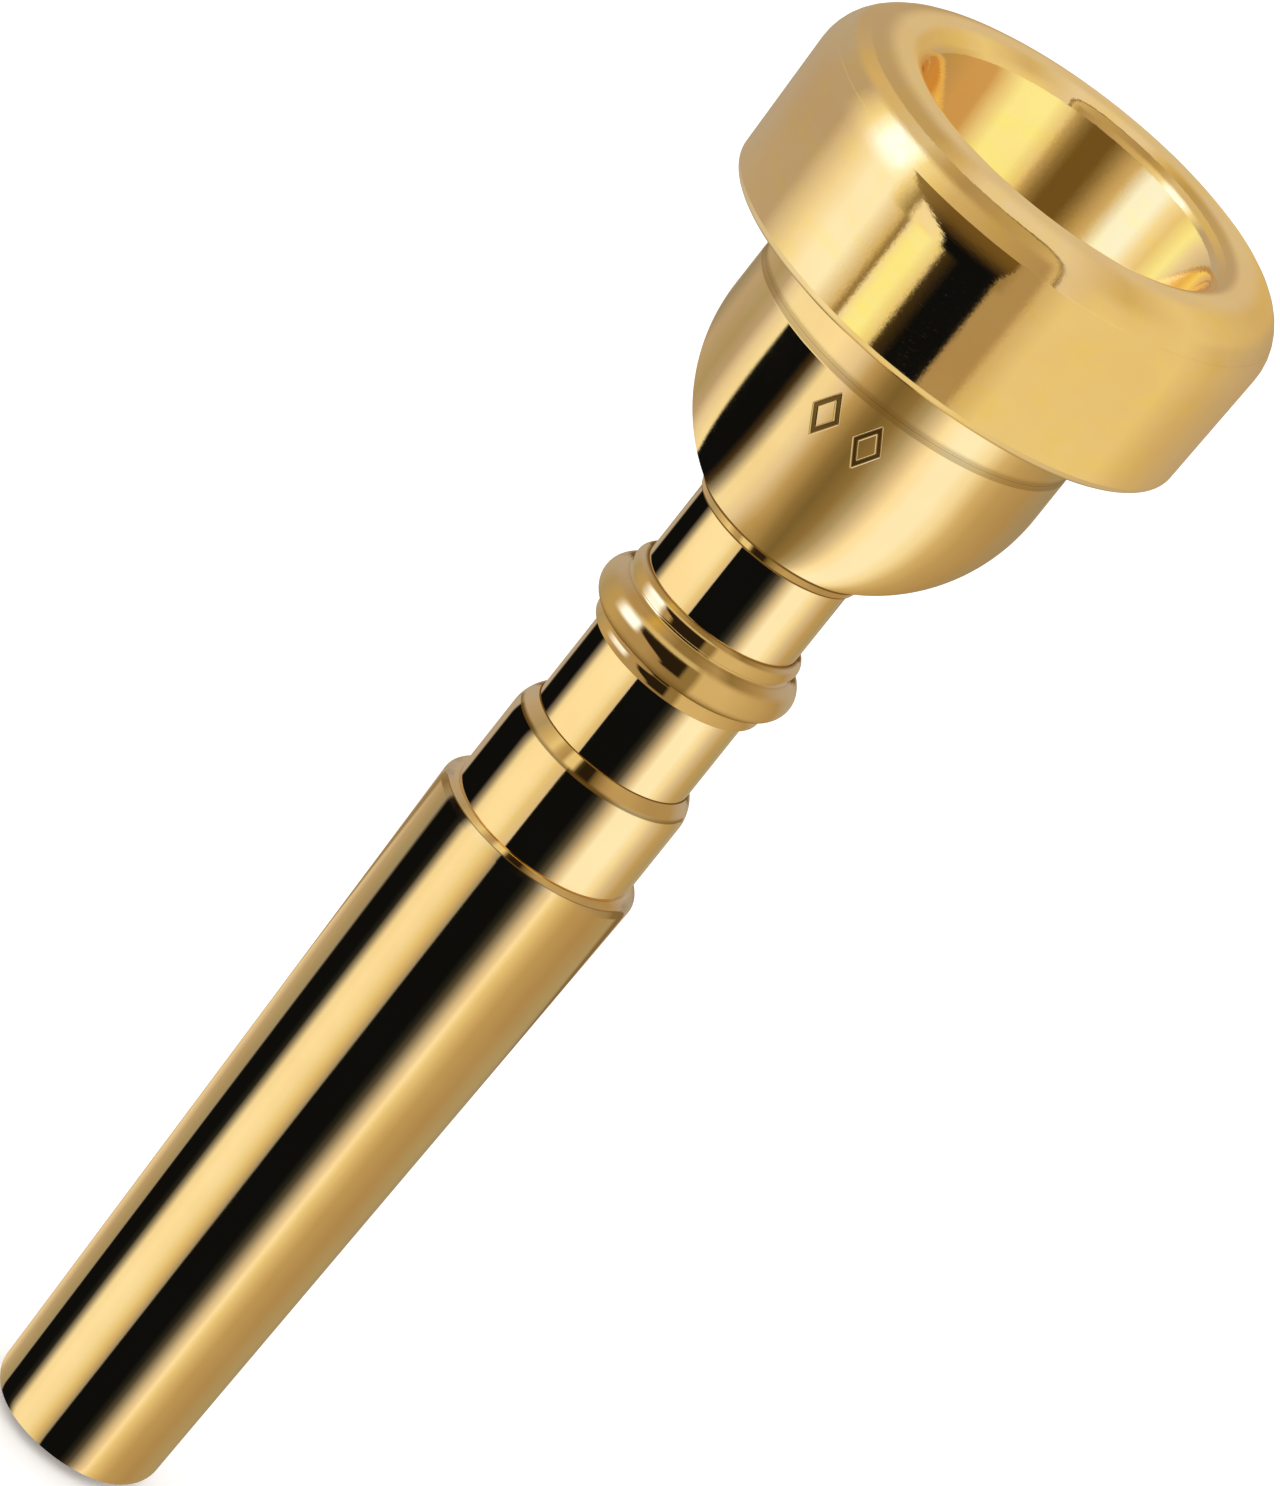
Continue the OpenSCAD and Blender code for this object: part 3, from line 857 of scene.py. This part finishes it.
# inside of the mouth, mirrored left to right because it curves the other way
MOUTH = [
    (-1, TAN), (-0.86, PEACH), (-0.78, LEMON), (-0.67, GILT), (-0.6, HONEY), (-0.52, PEARL), (-0.4, PEARL),
    (-0.3, AMBER), (-0.24, BRASS), (-0.16, OLIVE), (-0.1, BROWN), (0.04, BROWN), (0.1, OLIVE), (0.16, BRASS),
    (0.2, GILT), (0.3, LEMON), (0.5, LEMON), (0.6, GILT), (0.68, COPPER), (0.8, COPPER), (1, BRONZE),
]


def rim_paint(nodes, side, tilt):
    left = [(-1, ASH), (-0.9, TAN), (-0.76, TAN), (-0.71, SAND), (-0.63, HONEY), (-0.55, CREAM), (-0.46, CREAM)]
    right = [(0.17, BRONZE), (0.2, AMBER), (0.3, GILT), (0.75, GILT), (0.87, AMBER), (1, TAN)]
    wall = nodes.ramp(side, left + [
        (-0.37, AMBER), (-0.347, OLIVE), (-0.338, OLIVE), (-0.325, HONEY), (-0.29, LEMON), (-0.24, LEMON),
        (-0.183, GILT), (-0.163, UMBER), (-0.1, BLACK), (0.04, BLACK), (0.056, BRONZE),
    ] + right)
    gilt = nodes.ramp(side, left + [
        (-0.42, GILT), (-0.36, OLIVE), (-0.33, HONEY), (-0.22, HONEY), (0.04, OLIVE), (0.1, BRONZE),
    ] + right)
    glint = nodes.ramp(side, [
        (-1, ASH), (-0.88, TAN), (-0.79, TAN), (-0.74, SAND), (-0.68, HONEY), (-0.6, WHITE), (-0.5, WHITE),
        (-0.43, HONEY), (-0.36, GILT), (-0.27, AMBER), (-0.05, BRASS),
    ] + right)
    crown = nodes.ramp(side, [
        (-1, TAN), (-0.82, AMBER), (-0.5, SAND), (-0.38, BRASS), (-0.28, BRONZE), (0.08, BRASS), (0.2, AMBER),
        (0.32, GILT), (0.8, GILT), (0.93, AMBER), (1, TAN),
    ])
    top = nodes.ramp(side, [
        (-1, TAN), (-0.52, BRASS), (-0.38, AMBER), (-0.22, PEACH), (0.2, PEACH), (0.5, AMBER), (0.75, GILT),
        (1, AMBER),
    ])
    under = nodes.ramp(side, [(-1, ASH), (-0.45, HONEY), (-0.2, GILT), (0.3, GILT), (1, TAN)])

    # the flag's top flares sideways as the shoulder turns up
    flare = nodes.blend(nodes.step(tilt, 7, 23), -0.195, -0.435)
    reach = nodes.blend(nodes.step(tilt, 7, 22), 0.045, 0.08)
    cap = nodes.math(
        "MULTIPLY", nodes.step(nodes.math("SUBTRACT", side, flare), -0.012, 0.012),
        nodes.step(nodes.math("SUBTRACT", reach, side), -0.006, 0.008),
    )
    cap_colour = nodes.mix(nodes.step(tilt, 9, 21), BLACK, BROWN)
    cap_colour = nodes.mix(nodes.step(side, -0.2, -0.42), cap_colour, OLIVE)
    fade = nodes.math("MULTIPLY", nodes.step(side, -0.37, -0.47), nodes.step(tilt, 9, 23))
    shoulder = nodes.mix(cap, nodes.mix(fade, gilt, glint), cap_colour)
    colour = nodes.mix(nodes.step(tilt, 2, 6), wall, shoulder)
    colour = nodes.mix(nodes.step(tilt, 32.5, 34), colour, glint)
    colour = nodes.mix(nodes.step(tilt, 40, 48), colour, crown)

    # edge of the overhead card: a rounded corner drawn by a thin dark line
    along = nodes.excess(side, 0.02, 0.205)
    over = nodes.excess(tilt, 40, 18)
    corner = nodes.math("ADD", nodes.math("POWER", along, 2.6), nodes.math("POWER", over, 2.6))
    onset = nodes.blend(nodes.step(side, 0.24, 0.42), nodes.step(tilt, 30, 36), nodes.step(tilt, 34, 56))
    beyond = nodes.math("MULTIPLY", nodes.step(corner, 0.95, 1.1), onset)
    colour = nodes.mix(beyond, colour, top)
    line = nodes.math("MULTIPLY", nodes.step(corner, 0.78, 0.93), nodes.step(corner, 1.16, 1.0))
    line = nodes.math("MULTIPLY", line, nodes.step(tilt, 26, 34))
    line = nodes.math("MULTIPLY", line, nodes.step(side, -0.3, 0.05))
    colour = nodes.mix(nodes.math("MULTIPLY", line, 0.8), colour, BROWN)

    # straight up, where the crown turns over into the bite, there is one tone all round
    colour = nodes.mix(nodes.step(tilt, 68, 88), colour, SAND)
    mouth = nodes.math("MULTIPLY", nodes.step(tilt, 24, 25.5), nodes.step(tilt, 34, 32.5))
    colour = nodes.mix(mouth, colour, nodes.ramp(side, MOUTH))
    colour = nodes.mix(nodes.step(tilt, -3, -7), colour, under)
    return nodes.mix(nodes.step(tilt, -25, -60), colour, OLIVE)


def cup_paint(nodes, side, tilt):
    # on the left the stripes run down the bowl: side is scaled by the bowl's radius at this tilt
    slope = nodes.math("MULTIPLY", nodes.math("MINIMUM", tilt, 0), math.radians(base_angle) / BASE_TILT)
    fall = nodes.math("SUBTRACT", 1, nodes.math("COSINE", slope))
    scale = nodes.math("SUBTRACT", 1, nodes.math("MULTIPLY", fall, 0.93 * ARC_R / CUP_R))
    left = nodes.step(side, 0.1, -0.3)
    across = nodes.math("MULTIPLY", side, nodes.blend(left, 1, scale))
    inset = nodes.math("SUBTRACT", nodes.math("MULTIPLY", fall, 0.12), 0.02)
    across = nodes.math("ADD", across, nodes.math("MULTIPLY", left, inset))
    outer = nodes.math("MULTIPLY", nodes.step(across, -0.5, -0.62), fall)
    across = nodes.math("SUBTRACT", across, nodes.math("MULTIPLY", outer, 0.25))

    edge = [(-1, DRAB), (-0.95, TAN), (-0.85, STRAW), (-0.79, TAN), (-0.74, PEACH), (-0.69, HONEY)]
    right = [
        (-0.24, PEACH), (-0.15, BRASS), (-0.05, OLIVE), (0.02, KHAKI), (0.12, OLIVE), (0.2, STRAW),
        (0.27, SAND), (0.34, BUFF), (0.42, CREAM), (0.52, CREAM), (0.6, HONEY), (0.68, AMBER), (0.76, BRASS),
        (0.88, BRONZE), (1, DRAB),
    ]
    wall = nodes.ramp(across, edge + [
        (-0.67, HONEY), (-0.66, BLACK), (-0.49, BLACK), (-0.45, UMBER), (-0.41, DRAB), (-0.36, HONEY),
        (-0.31, HONEY),
    ] + right)
    band = nodes.ramp(side, edge + [(-0.38, BUFF)] + right)
    colour = nodes.mix(nodes.step(tilt, 1.7, 2.3), wall, band)
    groove = nodes.math("MULTIPLY", nodes.step(tilt, 3.8, 6.2), nodes.step(tilt, 11, 8))
    colour = nodes.mix(nodes.math("MULTIPLY", groove, 0.45), colour, BROWN)
    colour = nodes.mix(nodes.step(tilt, 14, 20), colour, nodes.ramp(side, MOUTH))
    return nodes.mix(nodes.step(tilt, 50, 75), colour, AMBER)


SHOULDER = [
    (-1, ASH), (-0.9, TAN), (-0.7, STRAW), (-0.55, AMBER), (-0.45, GILT), (-0.37, BRASS), (-0.3, BRONZE),
    (-0.25, GILT), (-0.17, GILT), (-0.12, UMBER), (-0.08, SOOT), (0.03, SOOT), (0.08, KHAKI), (0.2, BRONZE),
    (0.3, BRASS), (0.5, BRASS), (0.7, BRONZE), (0.9, BRONZE), (1, ASH),
]
NO_CREASE = 100


def stem_ends(nodes, side, tilt, wall, crease=18):
    """Adds to a wall colour what the shoulders of the steps mirror: a brown line, a gilt band and, from the
    tilt crease, brown again."""
    colour = nodes.mix(nodes.step(tilt, 5, 8), wall, nodes.ramp(side, SHOULDER))
    edge = nodes.math("MULTIPLY", nodes.step(tilt, 1.8, 3.2), nodes.step(tilt, 8, 5.5))
    colour = nodes.mix(nodes.math("MULTIPLY", edge, 0.75), colour, BROWN)
    return nodes.mix(nodes.step(tilt, crease, crease + 7), colour, BROWN)


def stem_wall(left_edge, left_end, main_edge, main_end):
    """Stops of the stem's stripes: the narrow black one runs from left_edge to left_end and the wide one from
    main_edge to main_end, where it softens into gold."""
    return [
        (-1, ASH), (left_edge - 0.012, ASH), (left_edge, BLACK), (left_end, BLACK), (left_end + 0.05, DRAB),
        (left_end + 0.1, HONEY), (left_end + 0.16, BUFF), (-0.42, BUFF), (-0.35, HONEY), (-0.29, GILT),
        (main_edge - 0.008, SAND), (main_edge, BLACK),
    ] + penumbra(main_end, 0.06) + [
        (main_end + 0.32, CREAM), (0.64, CREAM), (0.72, HONEY), (0.8, SAND), (0.89, BRASS), (0.96, STRAW),
        (1, ASH),
    ]


def stem_paint(nodes, side, tilt):
    return stem_ends(nodes, side, tilt, nodes.ramp(side, stem_wall(-0.95, -0.8, -0.228, 0.175)))


def collar_paint(nodes, side, tilt):
    return stem_ends(nodes, side, tilt, nodes.ramp(side, stem_wall(-0.94, -0.72, -0.193, 0.13)))


def shank_paint(nodes, side, tilt):
    # the stripes lean a little down the shank; the computed tilt drifts with the height and stands in for it
    edge = nodes.remap(tilt, 0.5, -2.4, -0.014, -0.031)
    narrow = nodes.remap(tilt, 0.5, -2.4, -0.043, -0.005)
    wide = nodes.remap(tilt, 0.5, -2.4, -0.021, -0.041)
    shift = nodes.blend(nodes.step(side, -0.84, -0.76), edge, narrow)
    shift = nodes.blend(nodes.step(side, -0.5, -0.3), shift, wide)
    shift = nodes.blend(nodes.step(side, -0.1, 0.1), shift, 0)
    wall = nodes.ramp(nodes.math("ADD", side, shift), [
        (-1, PEACH), (-0.95, TAN), (-0.9, STRAW), (-0.84, DRAB), (-0.833, BLACK), (-0.7, BLACK),
        (-0.65, SMOKE), (-0.61, DRAB), (-0.56, HONEY), (-0.47, BUFF), (-0.38, HONEY), (-0.3, GILT),
        (-0.24, AMBER), (-0.185, DRAB), (-0.175, BLACK),
    ] + penumbra(0.12, 0.055) + [
        (0.37, PEACH), (0.41, BUFF), (0.47, GILT), (0.55, AMBER), (0.63, BRASS), (0.8, BRONZE), (0.95, STRAW),
        (1, DRAB),
    ])
    return stem_ends(nodes, side, tilt, wall, NO_CREASE)


def bead_paint(nodes, side, tilt):
    body = nodes.ramp(side, [
        (-1, ASH), (-0.9, STRAW), (-0.78, BRASS), (-0.7, BRASS), (-0.5, BRONZE), (-0.3, BRONZE), (0, OLIVE),
        (0.2, OLIVE), (0.26, AMBER), (0.5, AMBER), (0.8, BRASS), (0.92, BRONZE), (1, ASH),
    ])
    high = nodes.ramp(side, [
        (-1, ASH), (-0.7, BRONZE), (-0.5, BRONZE), (-0.4, MARIGOLD), (-0.25, BRONZE), (-0.1, OLIVE),
        (0.1, OLIVE), (0.35, BRONZE), (0.5, OLIVE), (0.8, BRONZE), (1, ASH),
    ])
    colour = nodes.mix(nodes.step(tilt, 23, 30), body, high)
    white = nodes.math("MULTIPLY", nodes.step(side, -0.76, -0.6), nodes.step(side, -0.4, -0.5))
    white = nodes.math("MULTIPLY", white, nodes.step(tilt, 0, 14))
    white = nodes.math("MULTIPLY", white, nodes.step(tilt, 27, 21))
    colour = nodes.mix(white, colour, WHITE)
    flare = nodes.blend(nodes.step(tilt, -4, 20), -0.13, -0.43)
    patch = nodes.step(nodes.math("SUBTRACT", side, flare), -0.03, 0.04)
    patch = nodes.math("MULTIPLY", patch, nodes.step(side, 0.12, 0.07))
    patch = nodes.math("MULTIPLY", patch, nodes.step(tilt, -11, -7))
    patch = nodes.math("MULTIPLY", patch, nodes.step(tilt, 25, 22))
    colour = nodes.mix(patch, colour, SOOT)
    line = nodes.math("MULTIPLY", nodes.step(side, -0.6, -0.4), nodes.step(side, 0.3, 0.12))
    line = nodes.math("MULTIPLY", line, nodes.step(tilt, 23, 24.5))
    line = nodes.math("MULTIPLY", line, nodes.step(tilt, 29, 26))
    colour = nodes.mix(nodes.math("MULTIPLY", line, 0.6), colour, GILT)
    colour = nodes.mix(nodes.step(tilt, 34, 43), colour, BROWN)
    return nodes.mix(nodes.step(tilt, -13, -16), colour, BROWN)


light_dome("dome_rim", 1.4, (RIM_LOW + RIM_TOP) / 2 * MM, rim_paint, [rim])
light_dome("dome_cup", 1.5, (CUP_LOW + RIM_LOW) / 2 * MM, cup_paint, [cup])
light_dome("dome_stem", 1.6, (COLLAR_TOP + CUP_LOW) / 2 * MM, stem_paint, [stem, ring])
light_dome("dome_bead", 1.65, (BEAD_LOW + BEAD_TOP) / 2 * MM, bead_paint, [bead])
light_dome("dome_collar", 1.7, (COLLAR_LOW + COLLAR_TOP) / 2 * MM, collar_paint, [collar])
light_dome("dome_shank", 1.75, SHANK_TOP / 2 * MM, shank_paint, [shank])

floor_mesh = bpy.data.meshes.new("floor")
FLOOR = 4.0
corners = [(-FLOOR, -FLOOR, 0), (FLOOR, -FLOOR, 0), (FLOOR, FLOOR, 0), (-FLOOR, FLOOR, 0)]
floor_mesh.from_pydata(corners, [], [(0, 1, 2, 3)])
floor = bpy.data.objects.new("floor", floor_mesh)
bpy.context.scene.collection.objects.link(floor)
floor.location.z = -0.0005
floor_material, floor_nodes, floor_shader = new_material("floor_paper")
floor_place = floor_nodes.add("ShaderNodeTexCoord").outputs["Object"]
floor_tone = floor_nodes.noise(floor_place, 40, 2, 0.5)
floor_colour = floor_nodes.mix(floor_tone, (0.95, 0.95, 0.95, 1), (0.97, 0.97, 0.97, 1))
floor_nodes.link(floor_colour, floor_shader.inputs["Base Color"])
floor_shader.inputs["Roughness"].default_value = 0.9
floor_shader.inputs["Specular IOR Level"].default_value = 0.0
floor_shader.inputs["Emission Color"].default_value = (1, 1, 1, 1)
floor_shader.inputs["Emission Strength"].default_value = 0.22
floor_mesh.materials.append(floor_material)
floor.visible_glossy = False

world = bpy.data.worlds.new("studio")
bpy.context.scene.world = world
world.use_nodes = True
world_nodes = Nodes(world.node_tree)
background = world.node_tree.nodes["Background"]
background.inputs[0].default_value = (1, 1, 1, 1)
paths = world_nodes.add("ShaderNodeLightPath")
strength = world_nodes.math("MULTIPLY", world_nodes.math("SUBTRACT", 1, paths.outputs["Is Glossy Ray"]), 1.06)
world_nodes.link(strength, background.inputs[1])

bpy.context.scene.view_settings.view_transform = "Standard"
